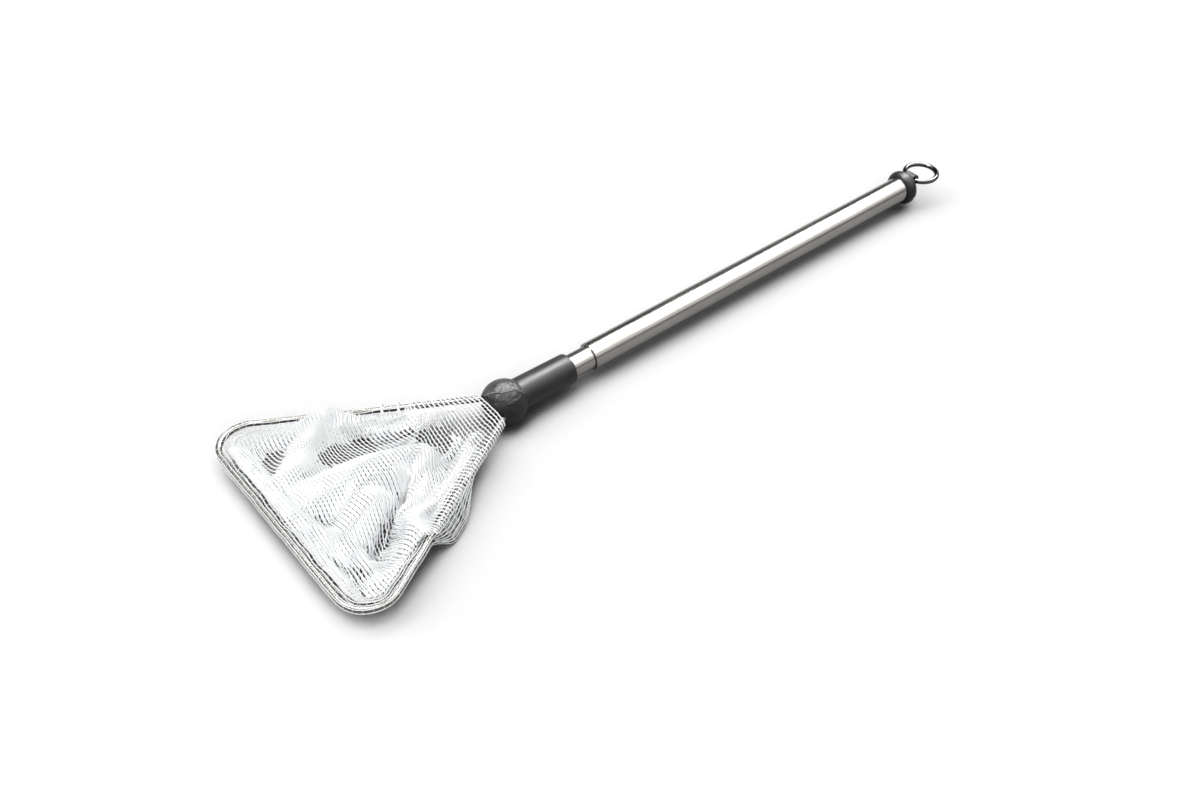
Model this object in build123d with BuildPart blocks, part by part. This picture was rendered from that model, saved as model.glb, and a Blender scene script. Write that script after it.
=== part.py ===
"""Telescopic aquarium fish net, lying collapsed on a table.

A steel handle tube with a black end cap and a hanging ring holds a sliding inner tube. The inner
tube carries a black sleeve and ball, and a triangular wire hoop with a hemmed net bag.
"""
import os
from math import cos, radians, sin, sqrt, tan

from build123d import *

# Driving dimensions in millimetres and degrees. X runs along the handle, from the net to the ring.
tube_diameter = 12.0
tube_wall = 0.3
tube_length = 193.2
lip_length = 2.0
lip_round = 0.3

inner_diameter = 10.2
inner_wall = 0.3
stub_length = 10.3

slide_clearance = 0.05
fit_clearance = 0.03
soft_clearance = 0.3
stop_clearance = 0.4

bush_length = 14.0
bush_slit = 1.5
spigot_diameter = 9.0
plug_stem_length = 10.0
plug_flange = 1.5

cap_diameter = 16.4
cap_length = 5.8
cap_mouth_diameter = 12.8
cap_face_diameter = 12.2
cap_skirt = 2.3
cap_plug_length = 8.0
lug_width = 5.0
lug_wall = 1.2
lug_reach = 2.5
lug_lift = 2.8

ring_diameter = 17.6
ring_wire = 2.4
ring_clearance = 0.15

ball_diameter = 19.4
ball_front = 7.0
sleeve_front_diameter = 13.9
sleeve_rear_diameter = 13.0
sleeve_length = 26.0
sleeve_round = 1.2

wire_diameter = 2.5
hoop_reach = 102.2
hoop_angle = 30.3
corner_radius = 12.0
leg_spacing = 6.0
leg_length = 26.0
leg_bend_radius = 8.0
leg_bend_position = 1.58
leg_plug_length = 24.0

hem_wall = 0.4
bag_wall = 0.8
bag_belly_height = 5.0
bag_belly_inset = 8.0
bag_belly_tip = 25.0
bag_floor_inset = 12.5
bag_floor_tip = 36.0
bag_tip_gap = 1.0
bag_tip_round = 3.0
bag_corner_round = 2.0

fold_position = (-66.0, -1.2)
fold_angle = -10.0
fold_foot_length = 40.0
fold_foot_width = 20.0
fold_foot_round = 7.0
fold_shoulder_height = 9.5
fold_shoulder_shift = 1.5
fold_shoulder_length = 37.0
fold_shoulder_width = 17.0
fold_shoulder_round = 6.0
fold_height = 16.5
fold_top_shift = 6.0
fold_top_length = 24.0
fold_top_width = 9.0
fold_top_round = 3.5

thread_diameter = 0.6
tie_distances = (42.0, 48.5)
tie_start_angle = -150.0
tie_arc = 200.0

# Radii that follow from the diameters and the fits.
tube_radius = tube_diameter / 2
bore_radius = tube_radius - tube_wall
inner_radius = inner_diameter / 2
inner_bore_radius = inner_radius - inner_wall
lip_radius = inner_radius + slide_clearance
bush_radius = bore_radius - slide_clearance
spigot_radius = spigot_diameter / 2
wire_radius = wire_diameter / 2
hem_bore_radius = wire_radius + fit_clearance
hem_radius = hem_bore_radius + hem_wall
thread_radius = thread_diameter / 2
ball_radius = ball_diameter / 2
ring_wire_radius = ring_wire / 2
ring_mean_radius = ring_diameter / 2 - ring_wire_radius
ring_sag = ring_mean_radius - sqrt(ring_mean_radius**2 - (lug_width / 2) ** 2)
ring_hole_radius = ring_wire_radius + ring_sag + ring_clearance
lug_radius = ring_hole_radius + lug_wall

# The two sides of the hoop leave the ball at this angle, from legs this far off the handle's axis.
slope = radians(hoop_angle)
leg_offset = leg_spacing / 2

# Stations along the handle, measured from the ball's centre.
sleeve_start = sqrt(ball_radius**2 - (sleeve_front_diameter / 2) ** 2)
sleeve_end = sleeve_start + sleeve_length
tube_mouth = sleeve_end + stub_length
tube_end = tube_mouth + tube_length
cap_start = tube_end - cap_skirt
cap_end = cap_start + cap_length
ring_pivot = cap_end + lug_reach
ring_centre = ring_pivot + ring_mean_radius
ring_far = ring_centre + ring_mean_radius + ring_wire_radius

# The inner tube begins behind the bend of the hoop's legs and its tail stops short of the end cap.
inner_start = leg_bend_position + leg_bend_radius * tan(slope / 2) + fit_clearance
tail_end = tube_end - cap_plug_length - stop_clearance
bush_end = tail_end - plug_flange
bush_start = bush_end - bush_length

# The origin is under the middle of the whole part, and the ball rests on the table.
axis_height = ball_radius
ball_x = (hoop_reach + hem_radius - ring_far) / 2
handle_plane = Plane(origin=(ball_x, 0, axis_height), x_dir=(1, 0, 0), z_dir=(0, -1, 0))
hoop_plane = Plane(origin=(ball_x, 0, axis_height), x_dir=(1, 0, 0), z_dir=(0, 0, 1))
handle_axis = Axis((ball_x, 0, axis_height), (1, 0, 0))
ring_plane = hoop_plane.offset(lug_lift)

# The net is pushed up in the middle of the bag, on a line across the hoop at a small angle.
fold_turn = radians(fold_angle)
fold_plane = Plane(
    origin=(ball_x + fold_position[0], fold_position[1], 0),
    x_dir=(cos(fold_turn), sin(fold_turn), 0),
    z_dir=(0, 0, 1),
)


def section(station):
    """Plane square to the handle at a station along it."""
    return Plane(origin=(ball_x + station, 0, axis_height), x_dir=(0, 1, 0), z_dir=(1, 0, 0))


def side_point(distance):
    """Point on the centre line of the hoop's far side, at a distance from the leg's bend."""
    return (leg_bend_position - distance * cos(slope), leg_offset + distance * sin(slope))


def with_mirror_image(points):
    """A run of points on the far side, carried on by its mirror image on the near side."""
    return points + [(x, -y) for x, y in reversed(points)]


def mouth_outline(inset, tip):
    """Round-cornered triangle inset from the hoop's wire, with its tip that far ahead of the ball's centre."""
    apex = leg_bend_position + (leg_offset - inset / cos(slope)) / tan(slope)
    front = inset - hoop_reach
    half_width = (apex - front) * tan(slope)
    tip_radius = max((apex + tip) * sin(slope) / (1 - sin(slope)), bag_tip_round)
    front_radius = max(corner_radius - inset, bag_corner_round)
    return FilletPolyline(
        (apex, 0),
        (front, half_width),
        (front, -half_width),
        radius=[tip_radius, front_radius, front_radius],
        close=True,
    )


# The wire's centre line: a leg, a bend inside the ball, a side, a corner and half of the front.
hoop_corner = side_point((hoop_reach + leg_bend_position) / cos(slope))
hoop_points = with_mirror_image([(leg_length, leg_offset), side_point(0), hoop_corner])
hoop_radii = [leg_bend_radius, corner_radius, corner_radius, leg_bend_radius]

# Outer tube: a thin steel tube whose mouth is rolled in to keep the bush inside.
with BuildPart() as outer_tube:
    with BuildSketch(section(tube_mouth)):
        Circle(tube_radius)
        Circle(bore_radius, mode=Mode.SUBTRACT)
    extrude(amount=tube_length)
    with BuildSketch(section(tube_mouth)):
        Circle(tube_radius)
        Circle(lip_radius, mode=Mode.SUBTRACT)
    extrude(amount=lip_length)
    mouth_edges = outer_tube.edges().filter_by(GeomType.CIRCLE).group_by(Axis.X)[0]
    fillet(mouth_edges.sort_by(SortBy.RADIUS)[-1], radius=lip_round)

# Inner tube: the sliding section, from inside the ball to the bush.
with BuildPart() as inner_tube:
    with BuildSketch(section(inner_start)):
        Circle(inner_radius)
        Circle(inner_bore_radius, mode=Mode.SUBTRACT)
    extrude(amount=bush_start - inner_start)

# Base plug: a stem in the inner tube, a spigot for the bush and a flange behind it.
with BuildPart() as base_plug:
    with BuildSketch(section(bush_start - plug_stem_length)):
        Circle(inner_bore_radius - fit_clearance)
    extrude(amount=plug_stem_length)
    with BuildSketch(section(bush_start)):
        Circle(spigot_radius)
    extrude(amount=bush_length)
    with BuildSketch(section(bush_end)):
        Circle(inner_radius)
    extrude(amount=plug_flange)

# Friction bush: a split ring that springs out against the bore of the outer tube.
with BuildPart() as friction_bush:
    with BuildSketch(section(bush_start + slide_clearance)):
        Circle(bush_radius)
        Circle(spigot_radius + slide_clearance, mode=Mode.SUBTRACT)
        with Locations((0, bush_radius)):
            Rectangle(bush_slit, bush_radius, mode=Mode.SUBTRACT)
    extrude(amount=bush_length - 2 * slide_clearance)

# End cap: a round bead over the tube's end, a plug in its bore and an eye for the ring above the axis.
with BuildPart() as end_cap:
    with BuildSketch(handle_plane):
        with BuildLine():
            bead = ThreePointArc(
                (cap_start, cap_mouth_diameter / 2),
                ((cap_start + cap_end) / 2, cap_diameter / 2),
                (cap_end, cap_face_diameter / 2),
            )
            Polyline(bead @ 1, (cap_end, 0), (cap_start, 0), bead @ 0)
        make_face()
    revolve(axis=handle_axis)
    with BuildSketch(section(cap_start)):
        Circle(tube_radius + fit_clearance)
    extrude(amount=cap_skirt, mode=Mode.SUBTRACT)
    with BuildSketch(section(tube_end)):
        Circle(bore_radius - fit_clearance)
    extrude(amount=-cap_plug_length)
    with BuildSketch(handle_plane):
        with Locations((ring_pivot, lug_lift)):
            Circle(lug_radius)
        with Locations((ring_pivot, lug_lift)):
            Rectangle(2 * lug_reach, 2 * lug_radius, align=(Align.MAX, Align.CENTER))
    extrude(amount=lug_width / 2, both=True)
    with BuildSketch(handle_plane):
        with Locations((ring_pivot, lug_lift)):
            Circle(ring_hole_radius)
    extrude(amount=lug_width, both=True, mode=Mode.SUBTRACT)

# Hanging ring: round steel wire through the eye, lying level.
with BuildPart() as hang_ring:
    with BuildLine(ring_plane) as ring_line:
        CenterArc((ring_centre, 0), ring_mean_radius, 0, 360)
    with BuildSketch(Plane(origin=ring_line.line @ 0, z_dir=ring_line.line % 0)):
        Circle(ring_wire_radius)
    sweep()

# Sleeve: a black ferrule glued on the inner tube, slightly tapered and rounded at its open end.
with BuildPart() as sleeve:
    sleeve_bore = inner_radius + fit_clearance
    with BuildSketch(handle_plane):
        with BuildLine():
            Polyline(
                (sleeve_start, sleeve_bore),
                (sleeve_start, sleeve_front_diameter / 2),
                (sleeve_end, sleeve_rear_diameter / 2),
                (sleeve_end, sleeve_bore),
                close=True,
            )
        make_face()
    revolve(axis=handle_axis)
    rear_edges = sleeve.edges().filter_by(GeomType.CIRCLE).group_by(Axis.X)[-1]
    fillet(rear_edges.sort_by(SortBy.RADIUS)[-1], radius=sleeve_round)

# Ball: cut flat at both ends, bored for the inner tube and channelled for the hoop's wire.
with BuildPart() as ball:
    with Locations((ball_x, 0, axis_height)):
        Sphere(ball_radius)
    split(bisect_by=section(-ball_front), keep=Keep.TOP)
    split(bisect_by=section(sleeve_start), keep=Keep.BOTTOM)
    with BuildSketch(section(inner_start - fit_clearance)):
        Circle(inner_radius + fit_clearance)
    extrude(amount=ball_radius, mode=Mode.SUBTRACT)
    with BuildLine(hoop_plane) as channel_line:
        FilletPolyline(*hoop_points, radius=hoop_radii)
    with BuildSketch(Plane(origin=channel_line.line @ 0, z_dir=channel_line.line % 0)):
        Circle(wire_radius + fit_clearance)
    sweep(mode=Mode.SUBTRACT)

# Hoop: one wire bent to a triangle, with both ends turned in as legs.
with BuildPart() as hoop:
    with BuildLine(hoop_plane) as hoop_line:
        FilletPolyline(*hoop_points, radius=hoop_radii)
    with BuildSketch(Plane(origin=hoop_line.line @ 0, z_dir=hoop_line.line % 0)):
        Circle(wire_radius)
    sweep()

# Leg plug: a core in the inner tube's front end that grips both legs.
with BuildPart() as leg_plug:
    with BuildSketch(section(inner_start)):
        Circle(inner_bore_radius - fit_clearance)
        with Locations((leg_offset, 0), (-leg_offset, 0)):
            Circle(wire_radius + fit_clearance, mode=Mode.SUBTRACT)
    extrude(amount=leg_plug_length)

# Hem: the net's edge wrapped round the wire, from the ball to the ball.
hem_start = side_point(ball_radius + soft_clearance - leg_bend_position * cos(slope) + leg_offset * sin(slope))
with BuildPart() as hem:
    with BuildLine(hoop_plane) as hem_line:
        FilletPolyline(*with_mirror_image([hem_start, hoop_corner]), radius=[corner_radius, corner_radius])
    with BuildSketch(Plane(origin=hem_line.line @ 0, z_dir=hem_line.line % 0)):
        Circle(hem_radius)
        Circle(hem_bore_radius, mode=Mode.SUBTRACT)
    sweep()

# Net bag: a shallow pan under the hoop. Its sides slope in to where it lies flat on the table, and its
# floor is open under the net that is pushed up.
bag_tip = ball_radius + bag_tip_gap
bag_levels = (
    (0.0, bag_floor_inset, bag_floor_tip),
    (bag_belly_height, bag_belly_inset, bag_belly_tip),
    (axis_height, hem_radius + soft_clearance, bag_tip),
)
with BuildPart() as net_bag:
    for height, inset, tip in bag_levels:
        with BuildSketch(hoop_plane.offset(height - axis_height)):
            with BuildLine():
                mouth_outline(inset, tip)
            make_face()
    loft(ruled=True)
    for height, inset, tip in bag_levels:
        with BuildSketch(hoop_plane.offset(max(height, bag_wall) - axis_height)):
            with BuildLine():
                mouth_outline(inset + bag_wall, tip + bag_wall)
            make_face()
    loft(ruled=True, mode=Mode.SUBTRACT)
    with BuildSketch(fold_plane):
        RectangleRounded(
            fold_foot_length - 2 * bag_wall, fold_foot_width - 2 * bag_wall, fold_foot_round - bag_wall
        )
    extrude(amount=bag_wall, mode=Mode.SUBTRACT)

# Net fold: the end of the bag pushed up through the hoop, a hollow pillow that rises from the pan's floor.
fold_levels = (
    (bag_wall, 0.0, fold_foot_length, fold_foot_width, fold_foot_round),
    (fold_shoulder_height, fold_shoulder_shift, fold_shoulder_length, fold_shoulder_width, fold_shoulder_round),
    (fold_height, fold_top_shift, fold_top_length, fold_top_width, fold_top_round),
)
with BuildPart() as net_fold:
    for height, shift, length, width, corner in fold_levels:
        with BuildSketch(fold_plane.offset(height)):
            with Locations((shift, 0)):
                RectangleRounded(length, width, corner)
    loft(ruled=True)
    for height, shift, length, width, corner in fold_levels:
        with BuildSketch(fold_plane.offset(min(height, fold_height - bag_wall))):
            with Locations((shift, 0)):
                RectangleRounded(length - 2 * bag_wall, width - 2 * bag_wall, corner - bag_wall)
    loft(ruled=True, mode=Mode.SUBTRACT)

# Hem stitching: one thread that lies along the bag's rim, against the hem.
with BuildPart() as hem_stitching:
    with BuildLine(hoop_plane.offset(thread_radius)) as stitch_line:
        mouth_outline(hem_radius + soft_clearance + bag_wall / 2, bag_tip + bag_wall / 2)
    with BuildSketch(Plane(origin=stitch_line.line @ 0, z_dir=stitch_line.line % 0)):
        Circle(thread_radius)
    sweep()

# Tie threads: two open loops over the hem on the far side.
with BuildPart() as tie_threads:
    for distance in tie_distances:
        tie_x, tie_y = side_point(distance)
        tie_plane = Plane(
            origin=(ball_x + tie_x, tie_y, axis_height),
            x_dir=(sin(slope), cos(slope), 0),
            z_dir=(-cos(slope), sin(slope), 0),
        )
        with BuildLine(tie_plane) as tie_line:
            CenterArc((0, 0), hem_radius + thread_radius + fit_clearance, tie_start_angle, tie_arc)
        with BuildSketch(Plane(origin=tie_line.line @ 0, z_dir=tie_line.line % 0)):
            Circle(thread_radius)
        sweep()

os.makedirs("parts", exist_ok=True)
pieces = {
    "outer_tube": outer_tube,
    "inner_tube": inner_tube,
    "base_plug": base_plug,
    "friction_bush": friction_bush,
    "end_cap": end_cap,
    "hang_ring": hang_ring,
    "sleeve": sleeve,
    "ball": ball,
    "hoop": hoop,
    "leg_plug": leg_plug,
    "hem": hem,
    "net_bag": net_bag,
    "net_fold": net_fold,
    "hem_stitching": hem_stitching,
    "tie_threads": tie_threads,
}
for piece_name, piece in pieces.items():
    piece.part.label = piece_name
    export_step(piece.part, f"parts/{piece_name}.step")
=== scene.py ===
import math

import bpy
import numpy as np
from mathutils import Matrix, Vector


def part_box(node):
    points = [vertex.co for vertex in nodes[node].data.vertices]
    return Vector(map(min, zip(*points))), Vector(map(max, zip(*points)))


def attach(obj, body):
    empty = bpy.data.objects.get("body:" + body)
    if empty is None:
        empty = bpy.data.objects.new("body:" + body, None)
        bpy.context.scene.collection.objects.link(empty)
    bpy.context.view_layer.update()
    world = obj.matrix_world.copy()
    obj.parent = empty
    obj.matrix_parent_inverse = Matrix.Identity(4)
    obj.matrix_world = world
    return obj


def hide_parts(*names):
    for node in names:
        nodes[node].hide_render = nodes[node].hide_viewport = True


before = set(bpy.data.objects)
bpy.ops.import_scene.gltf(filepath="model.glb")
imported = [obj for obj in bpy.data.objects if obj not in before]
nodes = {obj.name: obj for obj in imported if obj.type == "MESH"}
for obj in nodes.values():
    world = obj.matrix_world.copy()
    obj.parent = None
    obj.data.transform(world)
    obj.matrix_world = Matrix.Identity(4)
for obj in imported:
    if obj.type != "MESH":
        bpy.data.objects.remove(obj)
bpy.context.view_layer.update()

# Studio. A pale table with a low backdrop in a dim room, lit softly from above, the back left and the
# front. The table's colour is painted darker close under the object as a painted contact shadow, and
# panels overhead show only in what shines.
scene = bpy.context.scene
scene.view_settings.view_transform = "Standard"


def new_material(name, base_color, roughness, metallic=0.0):
    """A material with one Principled shader; returns its node tree and the shader."""
    material = bpy.data.materials.new(name)
    material.use_nodes = True
    tree = material.node_tree
    shader = tree.nodes["Principled BSDF"]
    shader.inputs["Base Color"].default_value = (*base_color, 1.0)
    shader.inputs["Roughness"].default_value = roughness
    shader.inputs["Metallic"].default_value = metallic
    return material, tree, shader


def seen_directly(tree):
    """1 on rays from the camera and on mirror and see-through rays, 0 on the rays that carry light."""
    path = tree.nodes.new("ShaderNodeLightPath")
    seen = path.outputs["Is Camera Ray"]
    for ray in ("Is Glossy Ray", "Is Transmission Ray"):
        either = tree.nodes.new("ShaderNodeMath")
        either.operation = "MAXIMUM"
        tree.links.new(seen, either.inputs[0])
        tree.links.new(path.outputs[ray], either.inputs[1])
        seen = either.outputs[0]
    return seen


table_size = 40.0
stage_roughness = 0.9
bounce_grey = (0.35, 0.35, 0.35)
shade_reach = 0.03
shaded_sky, open_sky = 0.39, 0.66
painted_shadow_grey, palest_table = 0.06, 0.72
bpy.ops.mesh.primitive_plane_add(size=table_size)
table = bpy.context.object
table.name = "table"
table_material, table_tree, table_shader = new_material("pale_table", bounce_grey, stage_roughness)
table_shader.inputs["Specular IOR Level"].default_value = 0.1
table_mix = table_tree.nodes.new("ShaderNodeMix")
table_mix.data_type = "RGBA"
table_mix.inputs["A"].default_value = (*bounce_grey, 1.0)
# Painted shadow: the table's colour runs from pale to dark grey where the object, close above, hides the
# sky.
sky_seen = table_tree.nodes.new("ShaderNodeAmbientOcclusion")
sky_seen.samples = 16
sky_seen.inputs["Distance"].default_value = shade_reach
painted_contact_shade = table_tree.nodes.new("ShaderNodeMapRange")
painted_contact_shade.interpolation_type = "SMOOTHSTEP"
painted_contact_shade.inputs["From Min"].default_value = shaded_sky
painted_contact_shade.inputs["From Max"].default_value = open_sky
painted_contact_shade.inputs["To Min"].default_value = painted_shadow_grey
painted_contact_shade.inputs["To Max"].default_value = palest_table
table_tree.links.new(sky_seen.outputs["AO"], painted_contact_shade.inputs["Value"])
table_tree.links.new(painted_contact_shade.outputs["Result"], table_mix.inputs["B"])
table_tree.links.new(seen_directly(table_tree), table_mix.inputs["Factor"])
table_tree.links.new(table_mix.outputs["Result"], table_shader.inputs["Base Color"])
table.data.materials.append(table_material)

backdrop_radius = 18.0
backdrop_height = 1.2
backdrop_glow = 0.85
bpy.ops.mesh.primitive_cylinder_add(
    vertices=96, radius=backdrop_radius, depth=2 * backdrop_height, end_fill_type="NOTHING")
backdrop = bpy.context.object
backdrop.name = "backdrop"
backdrop_material, backdrop_tree, backdrop_shader = new_material(
    "pale_backdrop", bounce_grey, stage_roughness)
backdrop_shader.inputs["Emission Strength"].default_value = backdrop_glow
backdrop_tree.links.new(seen_directly(backdrop_tree), backdrop_shader.inputs["Emission Color"])
backdrop.data.materials.append(backdrop_material)

room_brightness = 0.08
world = bpy.data.worlds.new("room")
scene.world = world
world.use_nodes = True
room_light = world.node_tree.nodes["Background"]
room_light.inputs["Color"].default_value = (0.95, 0.97, 1.0, 1.0)
room_light.inputs["Strength"].default_value = room_brightness


def soft_light(name, direction, energy, spread):
    """A broad lamp far off, whose light travels in one direction and stays out of the mirrors."""
    lamp = bpy.data.lights.new(name, "SUN")
    lamp.energy = energy
    lamp.angle = math.radians(spread)
    holder = bpy.data.objects.new(name, lamp)
    scene.collection.objects.link(holder)
    holder.rotation_euler = Vector(direction).to_track_quat("-Z", "Y").to_euler()
    holder.visible_glossy = False


soft_light("top_light", (0.0, -0.1, -1.0), 1.8, 60.0)
soft_light("back_light", (0.6, -0.5, -0.62), 1.8, 50.0)
soft_light("front_light", (0.2, 0.7, -0.68), 1.6, 50.0)


def shine_panel(name, place, size, watts):
    """A level panel overhead that shows only in glossy surfaces, as the soft boxes of a studio do."""
    lamp = bpy.data.lights.new(name, "AREA")
    lamp.shape = "RECTANGLE"
    lamp.size, lamp.size_y = size
    lamp.energy = watts
    holder = bpy.data.objects.new(name, lamp)
    scene.collection.objects.link(holder)
    holder.location = place
    holder.visible_diffuse = False
    holder.visible_camera = False


shine_panel("wide_panel", (0.55, -0.21, 1.0), (2.4, 1.85), 76.0)
shine_panel("front_panel", (1.0, -2.1, 1.0), (3.0, 1.8), 40.0)
shine_panel("far_panel", (3.0, -6.0, 1.0), (6.0, 6.0), 36.0)
shine_panel("back_panel", (-2.4, 0.0, 1.0), (3.4, 4.0), 68.0)
shine_panel("bright_strip", (0.50, 0.29, 0.97), (2.2, 0.22), 150.0)

# Camera. It stands at the net's side of the object and looks down over the near side of the hoop,
# with the ball a little below the middle of the picture.
MM = 0.001
camera_azimuth = math.radians(-39.02)
camera_elevation = math.radians(44.03)
camera_distance = 516.5 * MM
camera_target = Vector((-46.83, -22.98, 9.7)) * MM
photo_width_px = 1200
focal_length_px = 1289.2
sensor_width_mm = 36.0
camera = bpy.data.cameras.new("camera")
camera.sensor_width = sensor_width_mm
camera.lens = focal_length_px / photo_width_px * sensor_width_mm
camera.clip_start = 0.01
camera_object = bpy.data.objects.new("camera", camera)
scene.collection.objects.link(camera_object)
towards_camera = Vector((
    math.sin(camera_azimuth) * math.cos(camera_elevation),
    -math.cos(camera_azimuth) * math.cos(camera_elevation),
    math.sin(camera_elevation),
))
camera_object.location = camera_target + towards_camera * camera_distance
camera_object.rotation_euler = (-towards_camera).to_track_quat("-Z", "Y").to_euler()
scene.camera = camera_object


def noise_group(name, scale, stretch, detail):
    """Node group: a noise on Object coordinates, as a mask from 0 to 1."""
    group = bpy.data.node_groups.new(name, "ShaderNodeTree")
    size = group.interface.new_socket("Scale", in_out="INPUT", socket_type="NodeSocketFloat")
    size.default_value = scale
    group.interface.new_socket("Mask", in_out="OUTPUT", socket_type="NodeSocketFloat")
    inputs = group.nodes.new("NodeGroupInput")
    outputs = group.nodes.new("NodeGroupOutput")
    coordinates = group.nodes.new("ShaderNodeTexCoord")
    mapping = group.nodes.new("ShaderNodeMapping")
    mapping.inputs["Scale"].default_value = stretch
    noise = group.nodes.new("ShaderNodeTexNoise")
    noise.inputs["Detail"].default_value = detail
    spread = group.nodes.new("ShaderNodeMapRange")
    spread.inputs["From Min"].default_value = 0.3
    spread.inputs["From Max"].default_value = 0.7
    group.links.new(coordinates.outputs["Object"], mapping.inputs["Vector"])
    group.links.new(mapping.outputs["Vector"], noise.inputs["Vector"])
    group.links.new(inputs.outputs["Scale"], noise.inputs["Scale"])
    group.links.new(noise.outputs["Fac"], spread.inputs["Value"])
    group.links.new(spread.outputs["Result"], outputs.inputs["Mask"])
    return group


polish_lines = noise_group("polish_lines", 900.0, (0.02, 1.0, 1.0), 3.0)
handling_smudges = noise_group("handling_smudges", 90.0, (0.5, 1.0, 1.0), 4.0)


def dress(node_name, material):
    """Gives a CAD node its material."""
    slots = nodes[node_name].data.materials
    slots.clear()
    slots.append(material)


def add_group(tree, group, scale=None):
    """Places a node group in a material, and returns its mask."""
    holder = tree.nodes.new("ShaderNodeGroup")
    holder.node_tree = group
    if scale is not None:
        holder.inputs["Scale"].default_value = scale
    return holder.outputs["Mask"]


def vary(tree, mask, low, high, socket):
    """Drives a socket from a 0 to 1 mask, between two values."""
    spread = tree.nodes.new("ShaderNodeMapRange")
    spread.inputs["To Min"].default_value = low
    spread.inputs["To Max"].default_value = high
    tree.links.new(mask, spread.inputs["Value"])
    tree.links.new(spread.outputs["Result"], socket)


def tint(tree, mask, low, high, shader):
    """Drives a shader's colour from a mask, between two colours."""
    mix = tree.nodes.new("ShaderNodeMix")
    mix.data_type = "RGBA"
    mix.inputs["A"].default_value = (*low, 1.0)
    mix.inputs["B"].default_value = (*high, 1.0)
    tree.links.new(mask, mix.inputs["Factor"])
    tree.links.new(mix.outputs["Result"], shader.inputs["Base Color"])


def combine(tree, operation, first, second):
    """One maths node on two values or sockets."""
    node = tree.nodes.new("ShaderNodeMath")
    node.operation = operation
    for socket, value in zip(node.inputs, (first, second)):
        if isinstance(value, (int, float)):
            socket.default_value = value
        else:
            tree.links.new(value, socket)
    return node.outputs[0]


def bump(tree, height, strength, distance, shader):
    """Adds a bump to a shader's normal."""
    node = tree.nodes.new("ShaderNodeBump")
    node.inputs["Strength"].default_value = strength
    node.inputs["Distance"].default_value = distance
    tree.links.new(height, node.inputs["Height"])
    tree.links.new(node.outputs["Normal"], shader.inputs["Normal"])


def steel_material(name, dull, bright, roughness_low, roughness_high):
    """Polished steel: fine lines along X, and smudges that dull it in places."""
    line_share, smudge_share = 0.6, 0.4
    material, tree, shader = new_material(name, bright, roughness_low, 1.0)
    lines = add_group(tree, polish_lines)
    smudges = add_group(tree, handling_smudges)
    tint(tree, smudges, bright, dull, shader)
    line_marks = combine(tree, "MULTIPLY", lines, line_share)
    smudge_marks = combine(tree, "MULTIPLY", smudges, smudge_share)
    marks = combine(tree, "ADD", line_marks, smudge_marks)
    vary(tree, marks, roughness_low, roughness_high, shader.inputs["Roughness"])
    bump(tree, lines, 0.15, 0.02 * MM, shader)
    return material


tube_steel = steel_material("tube_steel", (0.182, 0.175, 0.164), (0.213, 0.206, 0.196), 0.18, 0.27)
dress("outer_tube", tube_steel)
dress("inner_tube", tube_steel)

# Inner fittings. Pale moulded nylon, out of sight inside the handle: a plug pressed into each end of
# the inner tube, and on the rear plug the split bush that rubs in the outer tube.
moulded_grain = noise_group("moulded_grain", 2600.0, (1.0, 1.0, 1.0), 2.0)
nylon_clean, nylon_soiled = (0.74, 0.73, 0.69), (0.66, 0.64, 0.59)
nylon_smooth, nylon_rough = 0.42, 0.58
nylon, nylon_tree, nylon_shader = new_material("pale_nylon", nylon_clean, nylon_smooth)
nylon_smudges = add_group(nylon_tree, handling_smudges, 140.0)
tint(nylon_tree, nylon_smudges, nylon_clean, nylon_soiled, nylon_shader)
vary(nylon_tree, nylon_smudges, nylon_smooth, nylon_rough, nylon_shader.inputs["Roughness"])
bump(nylon_tree, add_group(nylon_tree, moulded_grain), 0.2, 0.03 * MM, nylon_shader)
for node_name in ("base_plug", "friction_bush", "leg_plug"):
    dress(node_name, nylon)

# Sleeve and end cap. Glossy black moulded plastic, pressed on to the tubes, with the faint grain of
# a moulded skin and a few dull marks from handling.
moulded_black, moulded_dull = (0.004, 0.004, 0.004), (0.009, 0.009, 0.0095)
moulded_smooth, moulded_rough = 0.38, 0.46
moulded, moulded_tree, moulded_shader = new_material("black_moulding", moulded_black, moulded_smooth)
moulded_shader.inputs["Specular IOR Level"].default_value = 0.2
moulded_smudges = add_group(moulded_tree, handling_smudges, 160.0)
tint(moulded_tree, moulded_smudges, moulded_black, moulded_dull, moulded_shader)
vary(moulded_tree, moulded_smudges, moulded_smooth, moulded_rough, moulded_shader.inputs["Roughness"])
bump(moulded_tree, add_group(moulded_tree, moulded_grain, 1800.0), 0.22, 0.03 * MM, moulded_shader)
dress("sleeve", moulded)
dress("end_cap", moulded)

# Ball. Soft black rubber moulded in two halves over the wire legs: a dull skin, a little uneven, with a
# painted grey sheen unevenly over its upper half, and a wandering ridge where the mould's halves met,
# painted lighter along it as a highlight.
rubber_black, rubber_sheen_grey = (0.006, 0.006, 0.006), (0.10, 0.10, 0.102)
rubber_smooth, rubber_rough = 0.38, 0.60
line_lean = (0.36, 0.60, 0.715)
line_offset = 2.2 * MM
line_wave = 2.6 * MM
line_half_width = 0.5 * MM
sheen_starts, sheen_full = -0.4 * MM, 1.2 * MM
least_sheen = 0.3
sheen_share = 0.45
grain_share = 0.12
rubber, rubber_tree, rubber_shader = new_material("black_rubber", rubber_black, rubber_smooth)
rubber_shader.inputs["Specular IOR Level"].default_value = 0.18
rubber_mottle = add_group(rubber_tree, handling_smudges, 230.0)
vary(rubber_tree, rubber_mottle, rubber_smooth, rubber_rough, rubber_shader.inputs["Roughness"])
ball_low, ball_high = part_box("ball")
ball_middle = [(low + high) / 2 for low, high in zip(ball_low, ball_high)]
rubber_place = rubber_tree.nodes.new("ShaderNodeTexCoord")
rubber_axes = rubber_tree.nodes.new("ShaderNodeSeparateXYZ")
rubber_tree.links.new(rubber_place.outputs["Object"], rubber_axes.inputs["Vector"])
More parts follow.
